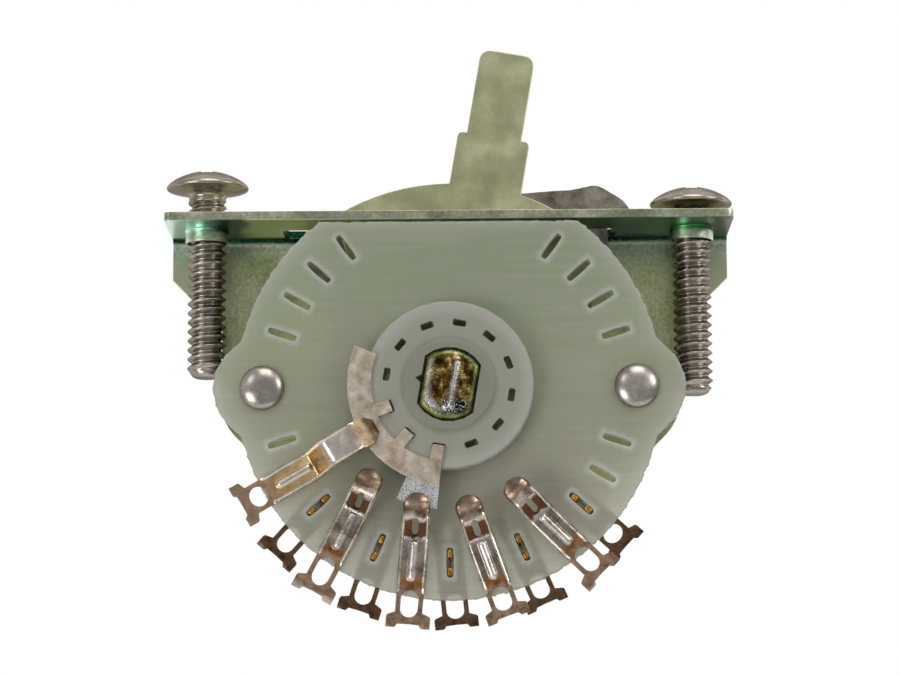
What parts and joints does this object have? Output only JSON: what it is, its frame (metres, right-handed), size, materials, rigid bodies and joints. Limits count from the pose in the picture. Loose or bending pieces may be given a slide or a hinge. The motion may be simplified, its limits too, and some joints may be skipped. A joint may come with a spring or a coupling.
{
  "type": "guitar pickup selector switch",
  "caption": "Open-frame lever selector switch for guitar pickups: folded steel bracket, riveted wafer with solder lugs, and a lever plate on a shaft that turns a bladed rotor.",
  "frame": {"origin": "middle of the bracket's top face, halfway between the axes of the mounting screws", "axes": "+X along the bracket to the screw on the right seen from the wafer's side, +Y from the wafer back to the bracket's vertical plate, +Z out of the panel along the lever"},
  "size_m": [0.0482, 0.0145, 0.0506],
  "materials": {
    "chromated_steel": "yellow-green chromate over zinc, satin, with mottled green reflections",
    "lever_steel": "khaki chromate, fine speckle, satin",
    "shaft_steel": "gold chromate, roughly staked end",
    "nickel_plated_steel": "warm grey nickel plate, polished",
    "glass_epoxy": "grey-green glass-epoxy sheet, faint weave, matt",
    "rotor_plastic": "translucent grey-white plastic, satin",
    "tinned_brass": "dull tinned spring brass, brown towards the solder feet",
    "silvered_brass": "silver plate, pinkish, mottled",
    "spring_steel": "dull dark grey spring steel",
    "bright_steel": "bright zinc-plated steel"
  },
  "bodies": {
    "frame": {"mounting_bracket": "chromated_steel", "stator_wafer": "glass_epoxy", "rivet_left": "nickel_plated_steel", "rivet_right": "nickel_plated_steel", "spacer_left": "bright_steel", "spacer_right": "bright_steel", "screw_left": "nickel_plated_steel", "screw_right": "nickel_plated_steel", "front_common_lug": "tinned_brass", "front_throw_lug_1": "tinned_brass", "front_throw_lug_2": "tinned_brass", "front_throw_lug_3": "tinned_brass", "front_throw_lug_4": "tinned_brass", "back_common_lug": "tinned_brass", "back_throw_lug_1": "tinned_brass", "back_throw_lug_2": "tinned_brass", "back_throw_lug_3": "tinned_brass", "back_throw_lug_4": "tinned_brass", "index_spring": "spring_steel", "index_rivet_left": "nickel_plated_steel", "index_rivet_right": "nickel_plated_steel"},
    "lever": {"lever_plate": "lever_steel", "shaft": "shaft_steel", "rotor": "rotor_plastic", "front_blade": "silvered_brass", "back_blade": "silvered_brass", "index_ball": "bright_steel", "retaining_ring": "bright_steel"}
  },
  "joints": [
    {"name": "lever_pivot", "type": "hinge", "parent": "frame", "child": "lever", "pos_m": [0, 0, -0.015], "axis": [0, 1, 0], "range_deg": [-44, 22]}
  ]
}
